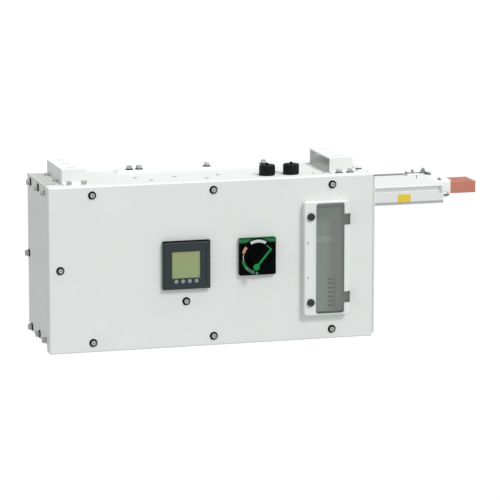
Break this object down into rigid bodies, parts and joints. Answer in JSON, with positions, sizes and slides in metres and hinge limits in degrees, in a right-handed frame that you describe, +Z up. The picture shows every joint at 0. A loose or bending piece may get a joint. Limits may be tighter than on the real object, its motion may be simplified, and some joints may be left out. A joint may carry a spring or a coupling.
{
  "type": "busbar tap-off box with moulded case circuit breaker",
  "caption": "Sheet-steel busbar tap-off box with hinged door, rotary breaker handle, panel meter, module window, roof hangers and a stub with copper bars.",
  "frame": {"origin": "middle of the hanger slots, on the top faces of both roof brackets", "axes": "+X to the busbar stub on the right, +Y from the door to the back, +Z up towards what the hangers bolt to"},
  "size_m": [0.921, 0.232, 0.356],
  "materials": {
    "white_sheet": "textured powder coat",
    "zinc_steel": "zinc plated",
    "copper_bar": "drawn copper",
    "black_moulding": "moulded",
    "grey_moulding": "moulded thermoset",
    "slate_moulding": "moulded",
    "key_moulding": "moulded",
    "white_moulding": "moulded",
    "dial_moulding": "moulded",
    "tinted_pane": "tinted clear moulding",
    "display": "liquid crystal display",
    "seal_rubber": "foam rubber"
  },
  "bodies": {
    "casing": {"bar_supports": "grey_moulding", "blanking_strip": "white_moulding", "breaker_base": "grey_moulding", "breaker_cover": "grey_moulding", "breaker_lugs": "copper_bar", "casing_wrapper": "white_sheet", "current_transformers": "black_moulding", "din_rail": "zinc_steel", "earth_bar": "copper_bar", "end_insulator": "white_moulding", "front_frame": "white_sheet", "gland_bodies": "black_moulding", "gland_caps": "black_moulding", "hanger_bracket_left": "white_sheet", "hanger_bracket_right": "white_sheet", "hinge_leaf_casing": "white_sheet", "hinge_pin": "zinc_steel", "line_links": "copper_bar", "load_bars": "copper_bar", "module_fascia": "white_moulding", "mounting_plate": "zinc_steel", "phase_bars": "copper_bar", "plate_posts": "zinc_steel", "roof_bolts": "zinc_steel", "roof_rail": "white_sheet", "rotary_mechanism": "black_moulding", "side_panel_left": "white_sheet", "side_panel_right": "white_sheet", "side_panel_screws": "zinc_steel", "terminal_bolts": "zinc_steel", "trip_unit": "black_moulding", "trunking_bolts": "zinc_steel", "trunking_casing": "white_sheet", "trunking_clamp": "white_sheet"},
    "door": {"door": "white_sheet", "door_gasket": "seal_rubber", "door_screws": "zinc_steel", "door_screw_seals": "seal_rubber", "hinge_leaf_door": "white_sheet", "window_hinge_ears": "white_moulding", "window_hinge_pins": "zinc_steel", "window_tunnel": "white_moulding", "meter_bezel": "slate_moulding", "meter_screen": "display", "meter_case": "slate_moulding", "handle_plate": "black_moulding", "handle_dial": "dial_moulding", "handle_nut": "black_moulding"},
    "window_flap": {"window_frame": "white_moulding", "window_pane": "tinted_pane"},
    "latch_upper": {"window_latch_upper": "white_moulding"},
    "latch_lower": {"window_latch_lower": "white_moulding"},
    "meter_key_1": {"meter_button_1": "key_moulding"},
    "meter_key_2": {"meter_button_2": "key_moulding"},
    "meter_key_3": {"meter_button_3": "key_moulding"},
    "meter_key_4": {"meter_button_4": "key_moulding"},
    "handle": {"handle_grip": "black_moulding"},
    "shaft": {"drive_shaft": "zinc_steel"},
    "toggle": {"breaker_toggle": "black_moulding"}
  },
  "joints": [
    {"name": "door_hinge", "type": "hinge", "parent": "casing", "child": "door", "pos_m": [0.3254, -0.135, -0.19], "axis": [0, 0, 1], "range_deg": [0, 110]},
    {"name": "window_hinge", "type": "hinge", "parent": "door", "child": "window_flap", "pos_m": [0.2688, -0.1505, -0.19], "axis": [0, 0, 1], "range_deg": [0, 110]},
    {"name": "upper_latch_turn", "type": "hinge", "parent": "window_flap", "child": "latch_upper", "pos_m": [0.1883, -0.153, -0.1037], "axis": [0, 1, 0], "range_deg": [0, 90]},
    {"name": "lower_latch_turn", "type": "hinge", "parent": "window_flap", "child": "latch_lower", "pos_m": [0.1883, -0.153, -0.2773], "axis": [0, 1, 0], "range_deg": [0, 90]},
    {"name": "handle_turn", "type": "hinge", "parent": "door", "child": "handle", "pos_m": [0.0805, -0.138, -0.1792], "axis": [0, 1, 0], "range_deg": [0, 90]},
    {"name": "shaft_turn", "type": "hinge", "parent": "casing", "child": "shaft", "pos_m": [0.0805, -0.083, -0.1792], "axis": [0, 1, 0], "range_deg": [0, 90]},
    {"name": "toggle_swing", "type": "hinge", "parent": "casing", "child": "toggle", "pos_m": [0.0805, -0.02, -0.1792], "axis": [-1, 0, 0], "range_deg": [0, 34]},
    {"name": "key_1_press", "type": "slide", "parent": "door", "child": "meter_key_1", "axis": [0, 1, 0], "range_m": [0, 0.0012], "stiffness_N_per_m": 250},
    {"name": "key_2_press", "type": "slide", "parent": "door", "child": "meter_key_2", "axis": [0, 1, 0], "range_m": [0, 0.0012], "stiffness_N_per_m": 250},
    {"name": "key_3_press", "type": "slide", "parent": "door", "child": "meter_key_3", "axis": [0, 1, 0], "range_m": [0, 0.0012], "stiffness_N_per_m": 250},
    {"name": "key_4_press", "type": "slide", "parent": "door", "child": "meter_key_4", "axis": [0, 1, 0], "range_m": [0, 0.0012], "stiffness_N_per_m": 250}
  ],
  "couplings": [
    {"joint": "shaft_turn", "follows": "handle_turn", "ratio": 1},
    {"joint": "toggle_swing", "follows": "handle_turn", "ratio": 0.37778}
  ]
}
